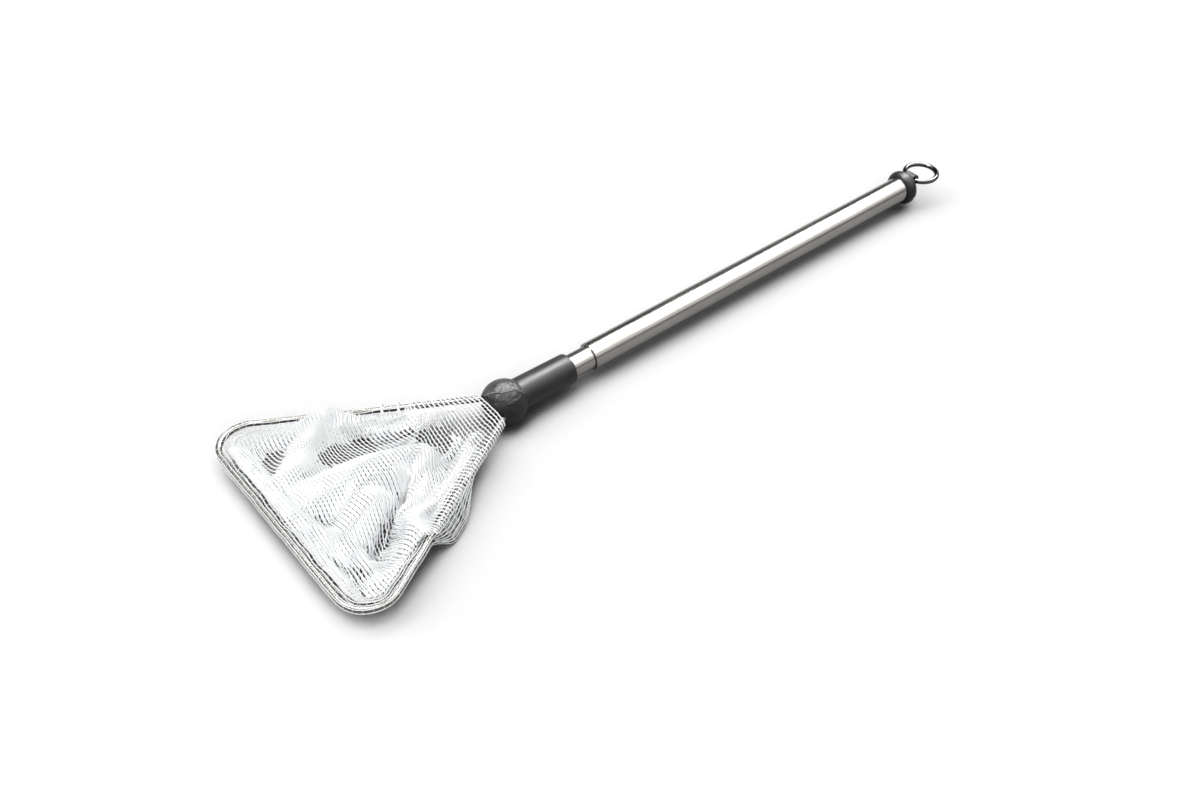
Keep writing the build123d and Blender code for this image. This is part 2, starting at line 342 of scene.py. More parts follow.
from_line = combine(rubber_tree, "MULTIPLY", add_group(rubber_tree, handling_smudges, 190.0), -line_wave)
from_line = combine(rubber_tree, "SUBTRACT", from_line, line_offset)
for axis, lean, middle in zip("XYZ", line_lean, ball_middle):
    from_middle = combine(rubber_tree, "SUBTRACT", rubber_axes.outputs[axis], middle)
    leaning = combine(rubber_tree, "MULTIPLY", from_middle, lean)
    from_line = combine(rubber_tree, "ADD", from_line, leaning)
distance = combine(rubber_tree, "ABSOLUTE", from_line, 0.0)
near_line = combine(rubber_tree, "DIVIDE", distance, line_half_width)
# Mould line: a real raised ridge in the bump, and also painted lighter in the colour as a highlight along
# it.
mould_ridge_and_glint = combine(rubber_tree, "MAXIMUM", combine(rubber_tree, "SUBTRACT", 1.0, near_line), 0.0)
# Painted sheen: the upper half of the ball is painted grey, unevenly, as if lit from above.
upper_half = rubber_tree.nodes.new("ShaderNodeMapRange")
upper_half.inputs["From Min"].default_value = sheen_starts
upper_half.inputs["From Max"].default_value = sheen_full
rubber_tree.links.new(from_line, upper_half.inputs["Value"])
uneven_sheen = combine(rubber_tree, "ADD", rubber_mottle, least_sheen)
painted_sheen = combine(rubber_tree, "MULTIPLY", upper_half.outputs["Result"], uneven_sheen)
# The painted sheen and a painted highlight along the mould line lift the black towards grey.
sheen_and_glint = combine(rubber_tree, "ADD", combine(rubber_tree, "MULTIPLY", painted_sheen, sheen_share), mould_ridge_and_glint)
tint(rubber_tree, sheen_and_glint, rubber_black, rubber_sheen_grey, rubber_shader)
rubber_grain = combine(rubber_tree, "MULTIPLY", add_group(rubber_tree, moulded_grain, 1500.0), grain_share)
rubber_lumps = add_group(rubber_tree, handling_smudges, 330.0)
rubber_skin = combine(rubber_tree, "ADD", rubber_grain, rubber_lumps)
rubber_relief = combine(rubber_tree, "ADD", rubber_skin, mould_ridge_and_glint)
bump(rubber_tree, rubber_relief, 0.8, 0.5 * MM, rubber_shader)
dress("ball", rubber)

# Ring and hoop. Hard-drawn round steel wire bent cold. The hanging ring is polished and hangs in the
# end cap's eye; the hoop is duller, and its legs stand in the ball.
ring_steel = steel_material("ring_steel", (0.045, 0.045, 0.045), (0.06, 0.06, 0.061), 0.10, 0.16)
wire_steel = steel_material("wire_steel", (0.09, 0.086, 0.08), (0.13, 0.125, 0.115), 0.28, 0.42)
dress("hang_ring", ring_steel)
dress("hoop", wire_steel)

# Hem. White knitted nylon net: its edge is folded over the wire into a narrow pocket and sewn down
# inside it, so the knit's ribs follow the wire. On the near side by the ball it is slack and hangs out.
hoop_low, hoop_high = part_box("hoop")
wire_radius = 1.25
hoop_reach = 102.2
hoop_origin = np.array([
    hoop_low[0] / MM + hoop_reach + wire_radius,
    (hoop_low[1] + hoop_high[1]) / 2 / MM,
    (hoop_low[2] + hoop_high[2]) / 2 / MM,
])
hoop_angle = math.radians(30.3)
side_start = (1.58, 3.0)
corner_radius = 12.0
corner_x = corner_radius - hoop_reach
corner_line_y = side_start[1] + (side_start[0] - corner_x) * math.tan(hoop_angle)
corner_y = corner_line_y - corner_radius / math.cos(hoop_angle)


def half_width(x, inset):
    """Half the width of the hoop at x, drawn in from the wire's centre line by an inset."""
    straight = side_start[1] + (side_start[0] - x) * math.tan(hoop_angle) - inset / math.cos(hoop_angle)
    radius = corner_radius - inset
    rounded = corner_y + np.sqrt(np.maximum(radius**2 - (x - corner_x) ** 2, 0.0))
    return np.where(x < corner_x + radius * math.sin(hoop_angle), rounded, straight)


def smooth_step(low, high, value):
    """0 at low, 1 at high, and a soft step between."""
    t = np.clip((value - low) / (high - low), 0.0, 1.0)
    return t * t * (3.0 - 2.0 * t)


def bunch(value, place, width):
    """A bump of 1 at a place."""
    return np.exp(-(((value - place) / width) ** 2))


def thread_tree(name, sides):
    """Geometry Nodes: every run of edges in a mesh becomes a thread with its own radius."""
    tree = bpy.data.node_groups.new(name, "GeometryNodeTree")
    tree.interface.new_socket("Geometry", in_out="INPUT", socket_type="NodeSocketGeometry")
    thickness = tree.interface.new_socket("Thickness", in_out="INPUT", socket_type="NodeSocketFloat")
    thickness.default_value = 1.0
    tree.interface.new_socket("Material", in_out="INPUT", socket_type="NodeSocketMaterial")
    tree.interface.new_socket("Geometry", in_out="OUTPUT", socket_type="NodeSocketGeometry")
    inputs = tree.nodes.new("NodeGroupInput")
    outputs = tree.nodes.new("NodeGroupOutput")
    runs = tree.nodes.new("GeometryNodeMeshToCurve")
    along = tree.nodes.new("GeometryNodeSplineParameter")
    keep_along = tree.nodes.new("GeometryNodeStoreNamedAttribute")
    keep_along.data_type = "FLOAT"
    keep_along.domain = "POINT"
    keep_along.inputs["Name"].default_value = "along"
    radius = tree.nodes.new("GeometryNodeInputNamedAttribute")
    radius.data_type = "FLOAT"
    radius.inputs["Name"].default_value = "radius"
    scaled = tree.nodes.new("ShaderNodeMath")
    scaled.operation = "MULTIPLY"
    profile = tree.nodes.new("GeometryNodeCurvePrimitiveCircle")
    profile.inputs["Resolution"].default_value = sides
    profile.inputs["Radius"].default_value = 1.0
    tube = tree.nodes.new("GeometryNodeCurveToMesh")
    smooth = tree.nodes.new("GeometryNodeSetShadeSmooth")
    realize = tree.nodes.new("GeometryNodeRealizeInstances")
    finish = tree.nodes.new("GeometryNodeSetMaterial")
    links = tree.links
    links.new(inputs.outputs["Geometry"], runs.inputs["Mesh"])
    links.new(runs.outputs["Curve"], keep_along.inputs["Geometry"])
    links.new(along.outputs["Length"], keep_along.inputs["Value"])
    links.new(keep_along.outputs["Geometry"], tube.inputs["Curve"])
    links.new(radius.outputs["Attribute"], scaled.inputs[0])
    links.new(inputs.outputs["Thickness"], scaled.inputs[1])
    links.new(profile.outputs["Curve"], tube.inputs["Profile Curve"])
    links.new(scaled.outputs["Value"], tube.inputs["Scale"])
    links.new(tube.outputs["Mesh"], smooth.inputs["Geometry"])
    links.new(smooth.outputs["Geometry"], realize.inputs["Geometry"])
    links.new(realize.outputs["Geometry"], finish.inputs["Geometry"])
    links.new(inputs.outputs["Material"], finish.inputs["Material"])
    links.new(finish.outputs["Geometry"], outputs.inputs["Geometry"])
    return tree


def set_input(modifier, name, value):
    """Sets a tree's named input on its modifier, by the socket's identifier."""
    for item in modifier.node_group.interface.items_tree:
        if item.item_type == "SOCKET" and item.in_out == "INPUT" and item.name == name:
            modifier[item.identifier] = value


def worked(name, runs, radii, tree, **values):
    """A piece from runs of points in millimetres from the ball's centre, through a tree of nodes.

    Each run has one radius, or one for each of its points.
    """
    places = np.concatenate(runs) + hoop_origin
    edges = []
    first = 0
    for run in runs:
        edges.extend((first + k, first + k + 1) for k in range(len(run) - 1))
        first += len(run)
    lines = bpy.data.meshes.new(name + "_runs")
    lines.from_pydata((places * MM).tolist(), edges, [])
    attribute = lines.attributes.new("radius", "FLOAT", "POINT")
    attribute.data.foreach_set("value", np.concatenate(
        [np.broadcast_to(radius, len(run)) * MM for run, radius in zip(runs, radii)]
    ))
    holder = bpy.data.objects.new(name, lines)
    scene.collection.objects.link(holder)
    modifier = holder.modifiers.new("work", "NODES")
    modifier.node_group = tree
    for input_name, value in values.items():
        set_input(modifier, input_name, value)
    graph = bpy.context.evaluated_depsgraph_get()
    made = bpy.data.meshes.new_from_object(holder.evaluated_get(graph))
    made.name = name
    holder.modifiers.remove(modifier)
    holder.data = made
    bpy.data.meshes.remove(lines)
    return holder


yarn_wear = noise_group("yarn_wear", 60.0, (1.0, 1.0, 1.0), 3.0)


def yarn_material(name, pale, grey, twist_pitch):
    """White nylon yarn: a fine twist along each thread, and a slightly uneven white."""
    smooth, rough = 0.42, 0.58
    material, tree, shader = new_material(name, pale, smooth)
    wear = add_group(tree, yarn_wear)
    tint(tree, wear, pale, grey, shader)
    vary(tree, wear, smooth, rough, shader.inputs["Roughness"])
    along = tree.nodes.new("ShaderNodeAttribute")
    along.attribute_name = "along"
    turns = combine(tree, "MULTIPLY", along.outputs["Fac"], 2 * math.pi / twist_pitch)
    bump(tree, combine(tree, "SINE", turns, 0.0), 0.35, 0.05 * MM, shader)
    shader.inputs["Sheen Weight"].default_value = 0.1
    shader.inputs["Specular IOR Level"].default_value = 0.04
    return material


net_yarn = yarn_material("white_net_yarn", (0.90, 0.905, 0.91), (0.82, 0.83, 0.84), 0.45 * MM)
thread_nodes = thread_tree("knit_threads", 5)
hem_rib_pitch = 1.5
hem_rib_radius = 0.2
hem_link_radius = 0.08
hem_step = 1.1
far_hem_x, near_hem_x = -31.0, -22.0
lowest_thread = -9.3


def stretches(chosen):
    """First and last numbers of each run of chosen places."""
    edges = np.flatnonzero(np.diff(np.concatenate([[0], chosen.astype(int), [0]])))
    return zip(edges[::2], edges[1::2])


def hem_line():
    """Places along the wire's centre line, with the outward direction at each."""
    side_out = np.array([math.sin(hoop_angle), math.cos(hoop_angle)])
    corner = np.array([corner_x, corner_y])
    turn = math.pi / 2 + hoop_angle
    bend_start = corner + corner_radius * side_out
    far_start = np.array([far_hem_x, float(half_width(np.array(far_hem_x), 0.0))])
    near_start = np.array([near_hem_x, float(half_width(np.array(near_hem_x), 0.0))])

    def straight(a, b, out):
        count = max(2, round(float(np.linalg.norm(b - a)) / hem_step))
        t = np.linspace(0.0, 1.0, count, endpoint=False)[:, None]
        return a + (b - a) * t, np.repeat(out[None, :], count, axis=0)

    count = round(corner_radius * turn / hem_step)
    angles = math.pi / 2 - hoop_angle + turn * np.linspace(0.0, 1.0, count, endpoint=False)
    bend_out = np.stack([np.cos(angles), np.sin(angles)], axis=-1)
    bend = corner + corner_radius * bend_out
    far_side, far_out = straight(far_start, bend_start, side_out)
    near_side, near_out = straight(near_start, bend_start, side_out)
    front_start = np.array([-hoop_reach, corner_y])
    front, front_out = straight(front_start, front_start * (1, -1), np.array([-1.0, 0.0]))
    places = [far_side, bend, front, (bend * (1, -1))[::-1], (near_side * (1, -1))[::-1]]
    outs = [far_out, bend_out, front_out, (bend_out * (1, -1))[::-1], (near_out * (1, -1))[::-1]]
    return np.concatenate(places), np.concatenate(outs)


hem_places, hem_out = hem_line()
hem_count = len(hem_places)
hem_along = np.arange(hem_count) * hem_step
near_side_x = np.where(hem_places[:, 1] < 0, hem_places[:, 0], 0.0)
slack = smooth_step(-30.0, -49.0, near_side_x) * (1.0 - smooth_step(-54.0, -65.0, near_side_x))
slack_out, slack_drop = 4.6, 7.4

# The inner edge wanders, and lies deeper where it was bunched.
wander = 0.25 * np.sin(hem_along * 0.21) + 0.2 * np.sin(hem_along * 0.53 + 1.0)
deeper = 1.0 + 0.35 * bunch(hem_along, 70.0, 14.0) + 0.12 * np.sin(hem_along * 0.08)
inner_edge = -1.0
outer_wander = 0.3

# The ribs' rows round the wire: how far out, how high and how loose each one lies.
hem_section = (
    (-4.4, 0.25, 0.0), (-3.0, 0.8, 0.0), (-1.6, 1.35, 0.0), (-0.15, 1.75, 0.05), (1.25, 1.25, 0.3),
    (1.75, -0.15, 0.7), (1.0, -1.4, 1.0), (-0.5, -1.7, 0.9), (-1.95, -1.3, 0.5), (-3.4, -0.7, 0.15),
)
zigzag_reach = 0.05
hem_zigzag = np.where(np.arange(hem_count) % 2 == 0, zigzag_reach, -zigzag_reach)
under_thinner = 0.6
hem_rows, hem_radii = [], []
for row, (out, up, loose) in enumerate(hem_section):
    drawn = out * deeper + wander if out < inner_edge else out + wander * outer_wander
    away = drawn + slack_out * slack * loose + (hem_zigzag if row % 2 == 0 else -hem_zigzag)
    height = up + 0.1 * np.sin(hem_along * 0.4 + out) - slack_drop * slack * loose**1.5
    height = np.maximum(height, lowest_thread)
    hem_rows.append(np.concatenate([hem_places + hem_out * away[:, None], height[:, None]], axis=1))
    hem_radii.append(hem_rib_radius * (under_thinner if out > 0.5 and up < 0.0 else 1.0))
hem_runs = list(hem_rows)
link_every = 3
wide_gap = 1.6 * hem_rib_pitch
for row, (first, second) in enumerate(zip(hem_rows[:-1], hem_rows[1:])):
    for k in range(row % link_every, hem_count, link_every):
        hem_runs.append(np.array([first[k], second[k]]))
        hem_radii.append(hem_link_radius)
    apart = np.linalg.norm(second - first, axis=1)
    more = round(float(apart.max()) / hem_rib_pitch) - 1
    for number in range(more):
        share = (number + 1) / (more + 1)
        for start, stop in stretches(apart > wide_gap):
            hem_runs.append(first[start:stop] * (1.0 - share) + second[start:stop] * share)
            hem_radii.append(hem_rib_radius)
hem = worked("hem_knit", hem_runs, hem_radii, thread_nodes, Material=net_yarn)
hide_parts("hem")
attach(hem, "head")

# Net bag. One sheet of the same net, cut larger than the hoop and sewn to the hem, so that it lies
# in folds with its middle pushed up. The ribs run across the hoop, and by the ball the net is drawn
# over both wires.
floor_drop = -8.6
columns, rows = 58, 68
sheet_front_x = -98.6
sheet_length = 91.2
wider_share = 0.2
sewn_inset = 3.6
wrap_width = 7.6
spread = np.linspace(0.0, 1.0, columns)
column_x = sheet_front_x + sheet_length * ((1.0 - wider_share) * spread + wider_share * spread**2)
across = np.linspace(-1.0, 1.0, rows)


def drawn_over(x, side):
    """0 where the net is sewn inside the wire, 1 by the ball, where it is drawn over the wire."""
    return np.where(side > 0, smooth_step(-37.0, -27.0, x), smooth_step(-66.0, -57.0, x))


def line_distance(x, y, points):
    """Distance to a run of points (x, y, z), and the run's height at the nearest place."""
    best = np.full(x.shape, 1e9)
    height = np.zeros(x.shape)
    for (ax, ay, az), (bx, by, bz) in zip(points[:-1], points[1:]):
        along = ((x - ax) * (bx - ax) + (y - ay) * (by - ay)) / ((bx - ax) ** 2 + (by - ay) ** 2)
        t = np.clip(along, 0.0, 1.0)
        distance = np.hypot(x - ax - t * (bx - ax), y - ay - t * (by - ay))
        nearer = distance < best
        best = np.where(nearer, distance, best)
        height = np.where(nearer, az + t * (bz - az), height)
    return best, height


sheet_x = np.repeat(column_x[:, None], rows, axis=1)
wrapped = drawn_over(sheet_x, across[None, :])
flat_y = across[None, :] * half_width(sheet_x, sewn_inset - wrap_width * wrapped)
wire_y = half_width(sheet_x, np.zeros_like(sheet_x))
inside = np.minimum((wire_y - np.abs(flat_y)) * math.cos(hoop_angle), sheet_x + hoop_reach)
pan = floor_drop * smooth_step(3.4, 13.0, inside) * smooth_step(-13.0, -30.0, sheet_x)
forms = [pan]

# Ridges of the folds, each with its width and steepness.
for points, width, steepness in (
    (((-83, 6, 1.5), (-66, 0, 6.5), (-46, -6, 7.5)), 12.5, 4),
    (((-70, -10, 4.0), (-83, -20, -1.0)), 11.5, 3),
    (((-59, 41, 7.5), (-67, 32, 6.5), (-79, 27, 3.5), (-90, 18, 1.0)), 8.5, 2),
    (((-57, 29, 4.0), (-41, 20.5, 2.5), (-27, 12, 3.5), (-17, 3.5, 2.0)), 4.5, 2),
    (((-17, 3.5, 2.0), (-20, -7.5, 2.0), (-31, -16, 2.5), (-50, -28.5, 3.0), (-61, -31, 4.5)), 4.8, 2),
    (((-61, -29, 4.5), (-66, -39, 4.5)), 7.0, 2),
    (((-40, -4, 4.2), (-47, -18, 4.0), (-58, -25, 4.0)), 6.0, 2),
    (((-96, 44, 0.5), (-95.5, 5, 2.0), (-91, -18, 2.0), (-85, -36, 0.5)), 5.5, 2),
    (((-90, -44, -1.0), (-74, -44, 0.0)), 6.0, 2),
):
    distance, ridge = line_distance(sheet_x, flat_y, points)
    forms.append(floor_drop + (ridge - floor_drop) * np.exp(-((distance / width) ** steepness)))
blend_height = 1.3
sheet_z = blend_height * np.log(np.sum(np.exp(np.stack(forms) / blend_height), axis=0))

# Creases in them, each with its width and depth.
for points, width, depth in (
    (((-80, 2, 0), (-68, -7, 0), (-58, -15, 0)), 3.5, 1.2),
    (((-43, -2, 0), (-50, -10, 0), (-56, -17, 0)), 3.0, 3.0),
    (((-82, -33, 0), (-75, -28, 0), (-67, -23, 0)), 3.2, 5.0),
):
    distance, _ = line_distance(sheet_x, flat_y, points)
    sheet_z = sheet_z - depth * np.exp(-((distance / width) ** 2))
sheet_z = np.maximum(sheet_z, floor_drop)

wrap_radius = 1.9
furthest_turn = 2.3
arch_height = 3.2
far_bunch_up, near_bunch_up = 6.0, 3.5
far_bunch_out, near_bunch_out = 3.2, 2.6
beyond = (np.abs(flat_y) - wire_y) * math.cos(hoop_angle)
turn = np.clip(beyond / wrap_radius, 0.0, furthest_turn)
wrap_out = np.where(beyond > 0, wrap_radius * np.sin(turn), beyond)
wrap_up = np.where(beyond > 0, wrap_radius * np.cos(turn), wrap_radius * smooth_step(-6.0, 0.0, beyond))
arch = arch_height * np.clip(1.0 - (flat_y / wire_y) ** 2, 0.0, 1.0) * smooth_step(-34.0, -9.0, sheet_x)
held = np.maximum(1.0 - smooth_step(sewn_inset, 6.0, inside), smooth_step(-24.0, -14.0, sheet_x))
far_bunch = np.where(flat_y > 0, bunch(sheet_x, -60.0, 9.0), 0.0)
near_bunch = np.where(flat_y < 0, bunch(sheet_x, -65.0, 6.0), 0.0)
held_z = wrap_up * wrapped + arch + far_bunch_up * far_bunch + near_bunch_up * near_bunch
sheet_z = sheet_z * (1.0 - held) + held * held_z
round_wire = np.sign(flat_y) * (wire_y + wrap_out / math.cos(hoop_angle))
sheet_y = flat_y + (round_wire - flat_y) * wrapped
bunched_out = far_bunch_out * far_bunch + near_bunch_out * near_bunch
sheet_y = sheet_y + held * bunched_out * np.sign(flat_y)
sheet = np.stack([sheet_x, sheet_y, sheet_z], axis=-1)

drape_scale = 0.01
looseness = 1.06
steps = 14
faces = []
for i in range(columns - 1):
    for j in range(rows - 1):
        a = i * rows + j
        faces.append((a, a + 1, a + rows + 1, a + rows))
drape_mesh = bpy.data.meshes.new("net_drape")
drape_mesh.from_pydata((sheet.reshape(-1, 3) * drape_scale).tolist(), [], faces)
drape = bpy.data.objects.new("net_drape", drape_mesh)
scene.collection.objects.link(drape)
drape.shape_key_add(name="start")
cut = drape.shape_key_add(name="cut")
cut.data.foreach_set("co", sheet.ravel() * drape_scale * looseness)
sewn = drape.vertex_groups.new(name="sewn")
for index, weight in enumerate(held.ravel()):
    sewn.add([index], float(weight), "REPLACE")
floor_place = (-0.6, 0.0, (floor_drop - 0.4) * drape_scale)
bpy.ops.mesh.primitive_plane_add(size=4.0, location=floor_place)
drape_floor = bpy.context.object
drape_floor.modifiers.new("stop", "COLLISION")
drape_floor.collision.thickness_outer = 0.003
cloth = drape.modifiers.new("cloth", "CLOTH")
cloth.settings.quality = 8
cloth.settings.mass = 0.05
cloth.settings.tension_stiffness = 20.0
cloth.settings.compression_stiffness = 20.0
cloth.settings.shear_stiffness = 4.0
cloth.settings.bending_stiffness = 0.4
cloth.settings.air_damping = 3.0
cloth.settings.vertex_group_mass = "sewn"
cloth.settings.pin_stiffness = 20.0
cloth.settings.rest_shape_key = cut
cloth.settings.effector_weights.gravity = 0.03
cloth.collision_settings.use_self_collision = True
cloth.collision_settings.self_distance_min = 0.006
cloth.collision_settings.distance_min = 0.003
cloth.point_cache.frame_start = 1
cloth.point_cache.frame_end = steps
for step in range(1, steps + 1):
    scene.frame_set(step)
draped = drape.evaluated_get(bpy.context.evaluated_depsgraph_get())
settled = np.empty(columns * rows * 3)
draped.data.vertices.foreach_get("co", settled)
sheet = settled.reshape(columns, rows, 3) / drape_scale
scene.frame_set(1)
bpy.data.objects.remove(drape)
bpy.data.objects.remove(drape_floor)
sheet[..., 2] = np.maximum(sheet[..., 2], floor_drop)

rib_count = 64
stitch_length = 1.0
zigzag = 0.06
shortest_run = 3
fine_steps = 6
net_rib_radius = 0.3
net_link_radius = 0.07
thick, thin = 1.1, 0.9
smoothing_rounds = 6
row_numbers = np.arange(rows)
from_front = np.cumsum(np.linalg.norm(np.diff(sheet, axis=0, prepend=sheet[:1]), axis=-1), axis=0)
for _ in range(smoothing_rounds):
    edged = np.pad(from_front, ((0, 0), (1, 1)), mode="edge")
    from_front = (edged[:, :-2] + 2.0 * from_front + edged[:, 2:]) / 4.0
sheet_up = np.cross(np.gradient(sheet, axis=0), np.gradient(sheet, axis=1))
sheet_up = sheet_up / np.linalg.norm(sheet_up, axis=-1, keepdims=True)


def on_sheet(grid, column, row):
    """Places on a draped sheet, by fractions of its grid's steps, on smooth curves."""
    i0 = np.clip(np.floor(column).astype(int), 0, columns - 2)
    j0 = np.clip(np.floor(row).astype(int), 0, rows - 2)

    def weights(t):
        first = (-t + 2 * t**2 - t**3) / 2
        second = (2 - 5 * t**2 + 3 * t**3) / 2
        third = (t + 4 * t**2 - 3 * t**3) / 2
        return first, second, third, (-(t**2) + t**3) / 2

    total = 0.0
    for a, weight_a in enumerate(weights(column - i0)):
        for b, weight_b in enumerate(weights(row - j0)):
            i = np.clip(i0 + a - 1, 0, columns - 1)
            j = np.clip(j0 + b - 1, 0, rows - 1)
            total = total + grid[i, j] * (weight_a * weight_b)[:, None]
    return total


def rib_columns(place):
    """Where a rib crosses each row of the grid; its place counts ribs from the front of the cloth."""
    reach = np.clip(place / rib_count, 0.0, 1.0) * from_front[-1]
    numbers = np.arange(columns)
    return np.array([np.interp(reach[j], from_front[:, j], numbers) for j in range(rows)])


def knit_layer(shift, drift, depth, cover):
    """Ribs and links of one layer of net, some depth under the sheet, where its cover is over a half."""
    grid = sheet - depth * sheet_up
    slant = shift + drift * (row_numbers / (rows - 1) - 0.5)
    runs, radii, length = [], [], 0.0
    for rib in range(-math.ceil(abs(drift)), rib_count + math.ceil(abs(drift)) + 1):
        place = rib + slant
        ahead = rib_columns(place + zigzag)
        behind = rib_columns(place - zigzag)
        beside = rib_columns(place + 1.0 - zigzag)
        fine_row = np.linspace(0.0, rows - 1, fine_steps * rows)
        fine = on_sheet(grid, np.interp(fine_row, row_numbers, (ahead + behind) / 2), fine_row)
        reach = np.cumsum(np.linalg.norm(np.diff(fine, axis=0, prepend=fine[:1]), axis=1))
        middle = np.interp((rows - 1) / 2, fine_row, reach)
        first = math.ceil((0.0 - middle) / stitch_length)
        last = math.floor((reach[-1] - middle) / stitch_length)
        number = np.arange(first, last + 1)
        row = np.interp(middle + number * stitch_length, reach, fine_row)
        to_next = (number + rib) % 2 == 0
        column_ahead = np.interp(row, row_numbers, ahead)
        column = np.where(to_next, column_ahead, np.interp(row, row_numbers, behind))
        at = np.interp(row, row_numbers, place)
        i = np.clip(np.round(column).astype(int), 0, columns - 1)
        j = np.clip(np.round(row).astype(int), 0, rows - 1)
        kept = (cover[i, j] > 0.5) & (at >= 0.0) & (at <= rib_count)
        stitches = on_sheet(grid, column, row)
        stitches[:, 2] = np.maximum(stitches[:, 2], lowest_thread)
        swell = np.where(to_next, thick, thin)
        for start, stop in stretches(kept):
            if stop - start > shortest_run:
                runs.append(stitches[start:stop])
                radii.append(net_rib_radius * swell[start:stop])
                length += (stop - start) * stitch_length
        linked = kept & to_next & (at + 1.0 <= rib_count)
        ends = on_sheet(grid, np.interp(row[linked], row_numbers, beside), row[linked])
        ends[:, 2] = np.maximum(ends[:, 2], lowest_thread)
        runs.extend(np.array(pair) for pair in zip(stitches[linked], ends))
        radii.extend([net_link_radius] * int(linked.sum()))
    return runs, radii, length


net_runs, net_radii, net_length = knit_layer(0.0, 0.0, 0.0, np.ones_like(sheet_x))
net_bag = worked("net_bag_knit", net_runs, net_radii, thread_nodes, Material=net_yarn)
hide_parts("net_bag")
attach(net_bag, "head")

# Net fold. The bag's spare depth: more of the same net, folded under the upper layer and gathered up
# in the middle, so that it is close and white there and open only over a few hollows.
hollows = np.zeros_like(sheet_x)

# Hollows that only the upper layer covers, each with its width.
for points, width in (
    (((-91, 30, 0), (-84, 35, 0)), 5.0),
    (((-68, 22, 0), (-54, 19, 0)), 4.0),
    (((-33, 3, 0), (-27, 8, 0)), 7.2),
    (((-77, -29, 0), (-67, -23, 0)), 2.2),
    (((-14, 0, 0), (-6, 0, 0)), 10.0),
):
    distance, _ = line_distance(sheet_x, flat_y, points)
    hollows = np.maximum(hollows, np.exp(-((distance / width) ** 4)))
within = smooth_step(1.0, 4.5, inside)
raised = smooth_step(-4.0, 0.0, sheet[..., 2]) * smooth_step(-20.0, -30.0, sheet_x) * within
folded = (1.0 - hollows) * np.maximum(within, smooth_step(-60.0, -66.0, sheet_x))
fold_runs, fold_radii, fold_length = [], [], 0.0

# Layers: how far their ribs are shifted and slanted, how deep they lie, and where.
for shift, drift, depth, cover in (
    (0.5, 5.0, 0.35, folded),
    (0.25, -4.0, 0.65, folded),
    (0.5, 0.0, 0.2, raised),
):
    runs, radii, length = knit_layer(shift, drift, depth, cover)
    fold_runs += runs
    fold_radii += radii
    fold_length += length
net_fold = worked("net_fold_knit", fold_runs, fold_radii, thread_nodes, Material=net_yarn)
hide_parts("net_fold")
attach(net_fold, "head")

# Seam. A row of short slanting stitches in a stouter white thread, which sews the hem's edge down
# and takes the bag's edge with it.
seam_yarn = yarn_material("white_seam_thread", (0.92, 0.92, 0.92), (0.84, 0.84, 0.85), 0.6 * MM)


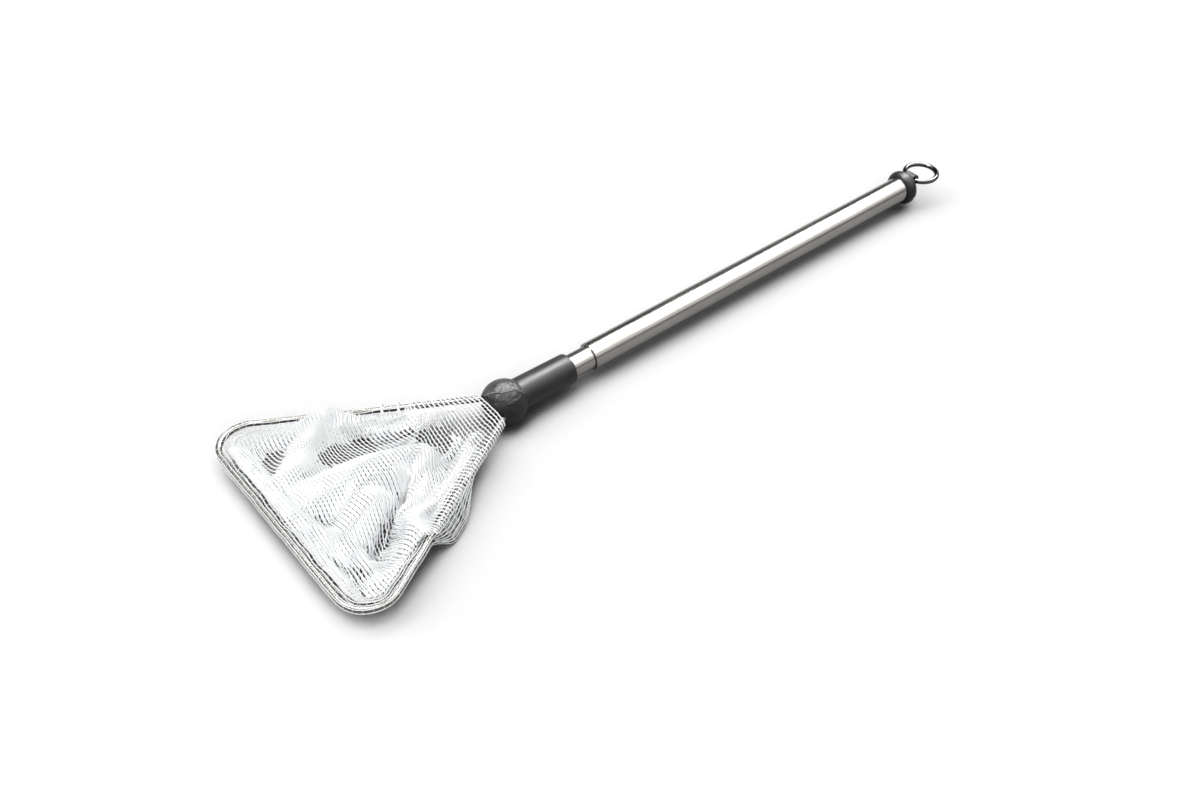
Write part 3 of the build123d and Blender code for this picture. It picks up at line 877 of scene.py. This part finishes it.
def stitch_tree(name):
    """Geometry Nodes: short bowed stitches along a run of edges, each turned and leaning a little."""
    tree = bpy.data.node_groups.new(name, "GeometryNodeTree")
    tree.interface.new_socket("Geometry", in_out="INPUT", socket_type="NodeSocketGeometry")
    for input_name in ("Pitch", "Length", "Rise", "Thickness", "Slant"):
        tree.interface.new_socket(input_name, in_out="INPUT", socket_type="NodeSocketFloat")
    tree.interface.new_socket("Material", in_out="INPUT", socket_type="NodeSocketMaterial")
    tree.interface.new_socket("Geometry", in_out="OUTPUT", socket_type="NodeSocketGeometry")
    inputs = tree.nodes.new("NodeGroupInput")
    outputs = tree.nodes.new("NodeGroupOutput")
    run = tree.nodes.new("GeometryNodeMeshToCurve")
    spaced = tree.nodes.new("GeometryNodeResampleCurve")
    spaced.mode = "LENGTH"
    half = tree.nodes.new("ShaderNodeMath")
    half.operation = "MULTIPLY"
    half.inputs[1].default_value = 0.5
    back = tree.nodes.new("ShaderNodeMath")
    back.operation = "MULTIPLY"
    back.inputs[1].default_value = -0.5
    start = tree.nodes.new("ShaderNodeCombineXYZ")
    top = tree.nodes.new("ShaderNodeCombineXYZ")
    end = tree.nodes.new("ShaderNodeCombineXYZ")
    bow = tree.nodes.new("GeometryNodeCurveQuadraticBezier")
    bow.inputs["Resolution"].default_value = 4
    profile = tree.nodes.new("GeometryNodeCurvePrimitiveCircle")
    profile.inputs["Resolution"].default_value = 5
    stitch = tree.nodes.new("GeometryNodeCurveToMesh")
    stitch.inputs["Fill Caps"].default_value = True
    tangent = tree.nodes.new("GeometryNodeInputTangent")
    align = tree.nodes.new("FunctionNodeAlignRotationToVector")
    align.axis = "X"
    lean = tree.nodes.new("FunctionNodeRandomValue")
    lean.data_type = "FLOAT"
    lean.inputs["Min"].default_value = 0.75
    lean.inputs["Max"].default_value = 1.25
    lean.inputs["Seed"].default_value = 4
    slant = tree.nodes.new("ShaderNodeMath")
    slant.operation = "MULTIPLY"
    slant_axes = tree.nodes.new("ShaderNodeCombineXYZ")
    slant_turn = tree.nodes.new("FunctionNodeEulerToRotation")
    turned = tree.nodes.new("FunctionNodeRotateRotation")
    turned.rotation_space = "LOCAL"
    placed = tree.nodes.new("GeometryNodeInstanceOnPoints")
    smooth = tree.nodes.new("GeometryNodeSetShadeSmooth")
    realize = tree.nodes.new("GeometryNodeRealizeInstances")
    finish = tree.nodes.new("GeometryNodeSetMaterial")
    links = tree.links
    links.new(inputs.outputs["Geometry"], run.inputs["Mesh"])
    links.new(run.outputs["Curve"], spaced.inputs["Curve"])
    links.new(inputs.outputs["Pitch"], spaced.inputs["Length"])
    links.new(inputs.outputs["Length"], half.inputs[0])
    links.new(inputs.outputs["Length"], back.inputs[0])
    links.new(back.outputs["Value"], start.inputs["X"])
    links.new(half.outputs["Value"], end.inputs["X"])
    links.new(inputs.outputs["Rise"], top.inputs["Z"])
    links.new(start.outputs["Vector"], bow.inputs["Start"])
    links.new(top.outputs["Vector"], bow.inputs["Middle"])
    links.new(end.outputs["Vector"], bow.inputs["End"])
    links.new(inputs.outputs["Thickness"], profile.inputs["Radius"])
    links.new(bow.outputs["Curve"], stitch.inputs["Curve"])
    links.new(profile.outputs["Curve"], stitch.inputs["Profile Curve"])
    links.new(spaced.outputs["Curve"], placed.inputs["Points"])
    links.new(stitch.outputs["Mesh"], placed.inputs["Instance"])
    links.new(tangent.outputs["Tangent"], align.inputs["Vector"])
    links.new(inputs.outputs["Slant"], slant.inputs[0])
    links.new(lean.outputs[1], slant.inputs[1])
    links.new(slant.outputs["Value"], slant_axes.inputs["Z"])
    links.new(slant_axes.outputs["Vector"], slant_turn.inputs["Euler"])
    links.new(align.outputs["Rotation"], turned.inputs["Rotation"])
    links.new(slant_turn.outputs["Rotation"], turned.inputs["Rotate By"])
    links.new(turned.outputs["Rotation"], placed.inputs["Rotation"])
    links.new(placed.outputs["Instances"], smooth.inputs["Geometry"])
    links.new(smooth.outputs["Geometry"], realize.inputs["Geometry"])
    links.new(realize.outputs["Geometry"], finish.inputs["Geometry"])
    links.new(inputs.outputs["Material"], finish.inputs["Material"])
    links.new(finish.outputs["Geometry"], outputs.inputs["Geometry"])
    return tree


seam_radius = 0.2
seam_lift = 0.15
seam_slack_drop = 2.2
seam_run = hem_rows[0] * 0.75 + hem_rows[1] * 0.25
seam_run[:, 2] += seam_lift - seam_slack_drop * slack
seam = worked(
    "hem_seam_stitches", [seam_run], [seam_radius], stitch_tree("seam_stitches"), Pitch=1.9 * MM,
    Length=2.1 * MM, Rise=0.7 * MM, Thickness=seam_radius * MM, Slant=0.7, Material=seam_yarn,
)
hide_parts("hem_stitching")
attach(seam, "head")

# Ties. Two short lengths of white thread knotted round the far side of the hoop, over the hem; each
# goes round twice.
tie_runs = []
tie_places = (42.0, 48.5)
tie_strand_radius = 0.3
tie_reach = 2.45
tie_tuck = 0.9
tie_sway = 0.25
tie_degrees = np.linspace(-110.0, 205.0, 22)
for tie_place in tie_places:
    for strand, offset in enumerate((-tie_strand_radius, tie_strand_radius)):
        angles = np.radians(tie_degrees)
        reach = tie_reach + 0.08 * strand
        out = reach * np.cos(angles) - tie_tuck * smooth_step(90.0, 200.0, tie_degrees)
        up = reach * np.sin(angles)
        along = tie_place + offset + tie_sway * np.sin(angles * 1.5 + strand)
        ground_x = side_start[0] - along * math.cos(hoop_angle) + out * math.sin(hoop_angle)
        ground_y = side_start[1] + along * math.sin(hoop_angle) + out * math.cos(hoop_angle)
        tie_runs.append(np.stack([ground_x, ground_y, up], axis=-1))
tie_radii = [tie_strand_radius] * len(tie_runs)
ties = worked("hoop_ties", tie_runs, tie_radii, thread_tree("tie_threads", 8), Material=seam_yarn)
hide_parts("tie_threads")
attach(ties, "head")
